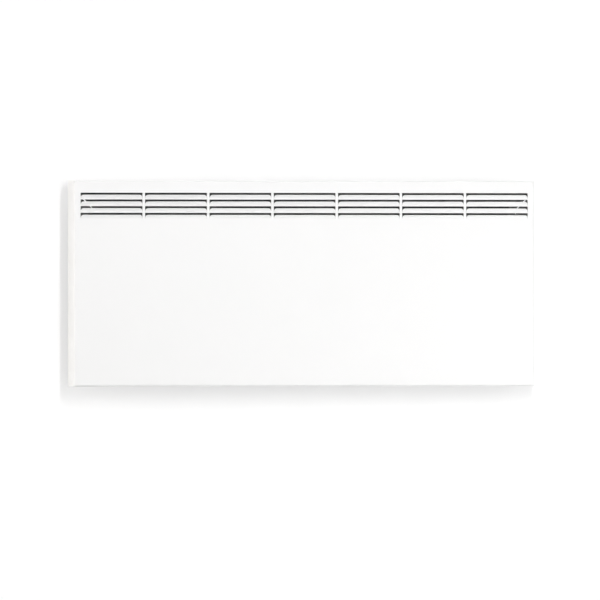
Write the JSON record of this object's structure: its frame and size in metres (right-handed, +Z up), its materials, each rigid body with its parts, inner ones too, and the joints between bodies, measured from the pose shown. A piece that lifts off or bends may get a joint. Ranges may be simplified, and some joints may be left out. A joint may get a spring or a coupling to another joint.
{
  "type": "wall panel convector heater",
  "caption": "Flat white electric panel heater with a louvred outlet along its top, hung on a tilting wall bracket.",
  "frame": {"origin": "middle of the bracket's wall holes, on the wall's face", "axes": "+X to the heater's right seen from the room, +Z up, the heater's front looks along -Y"},
  "size_m": [0.912, 0.0892, 0.4],
  "materials": {
    "white_powder_coat": "satin",
    "white_plastic": "matt",
    "black_plastic": "matt",
    "grey_plastic": "matt",
    "galvanised_steel": "satin",
    "zinc_plated_steel": "satin",
    "rod_steel": "satin",
    "aluminium": "satin",
    "ceramic": "matt",
    "brass": "satin",
    "copper": "satin",
    "rubber": "matt",
    "live_insulation": "satin",
    "neutral_insulation": "satin",
    "earth_insulation": "satin",
    "lamp_red": "gloss"
  },
  "bodies": {
    "bracket": {"bracket_upright_left": "galvanised_steel", "bracket_upright_right": "galvanised_steel", "bracket_rails": "galvanised_steel", "bracket_rivets": "zinc_plated_steel", "buffer_pads": "rubber", "latch_studs": "zinc_plated_steel"},
    "heater": {"front_cover": "white_powder_coat", "back_plate": "white_powder_coat", "case_screws": "zinc_plated_steel", "air_guide": "galvanised_steel", "end_deflector_left": "galvanised_steel", "end_deflector_right": "galvanised_steel", "heat_shield": "galvanised_steel", "shield_spacers": "zinc_plated_steel", "shield_screws": "zinc_plated_steel", "partition": "galvanised_steel", "lead_grommets": "rubber", "element_fins": "aluminium", "heating_rod": "rod_steel", "element_supports": "galvanised_steel", "element_bushes": "ceramic", "element_beads": "ceramic", "element_terminals": "zinc_plated_steel", "cutout_bracket": "galvanised_steel", "overheat_cutout": "black_plastic", "spade_connectors": "brass", "control_pocket": "grey_plastic", "pocket_fasteners": "zinc_plated_steel", "thermostat_body": "white_plastic", "thermostat_nut": "zinc_plated_steel", "indicator_lamp": "lamp_red", "switch_body": "black_plastic", "sensor_bulb": "copper", "sensor_clips": "zinc_plated_steel", "sensor_capillary": "copper", "terminal_block": "white_plastic", "terminal_screws": "brass", "earth_stud": "brass", "earth_ring_terminal": "zinc_plated_steel", "earth_nut": "brass", "cable_inlet": "black_plastic", "inlet_nut": "black_plastic", "inner_screws": "zinc_plated_steel", "live_in_lead": "live_insulation", "switched_lead": "live_insulation", "live_lead": "live_insulation", "cutout_lead": "live_insulation", "neutral_lead": "neutral_insulation", "earth_lead": "earth_insulation", "lead_clips": "white_plastic", "hinge_brackets": "galvanised_steel", "pivot_pins": "zinc_plated_steel", "plate_rivets": "zinc_plated_steel", "keepers": "galvanised_steel"},
    "knob": {"thermostat_knob": "white_plastic", "thermostat_spindle": "brass"},
    "rocker": {"switch_rocker": "black_plastic"},
    "left_latch": {"latch_left": "white_plastic"},
    "right_latch": {"latch_right": "white_plastic"}
  },
  "joints": [
    {"name": "tilt", "type": "hinge", "parent": "bracket", "child": "heater", "pos_m": [0, -0.013, -0.165], "axis": [1, 0, 0], "range_deg": [0, 20]},
    {"name": "thermostat", "type": "hinge", "parent": "heater", "child": "knob", "pos_m": [0.442, -0.0545, 0.078], "axis": [-1, 0, 0], "range_deg": [0, 270]},
    {"name": "power_switch", "type": "hinge", "parent": "heater", "child": "rocker", "pos_m": [0.438, -0.0545, 0.018], "axis": [0, -1, 0], "range_deg": [0, 14]},
    {"name": "latch_left_slide", "type": "slide", "parent": "bracket", "child": "left_latch", "axis": [0, 0, -1], "range_m": [0, 0.009]},
    {"name": "latch_right_slide", "type": "slide", "parent": "bracket", "child": "right_latch", "axis": [0, 0, -1], "range_m": [0, 0.009]}
  ]
}
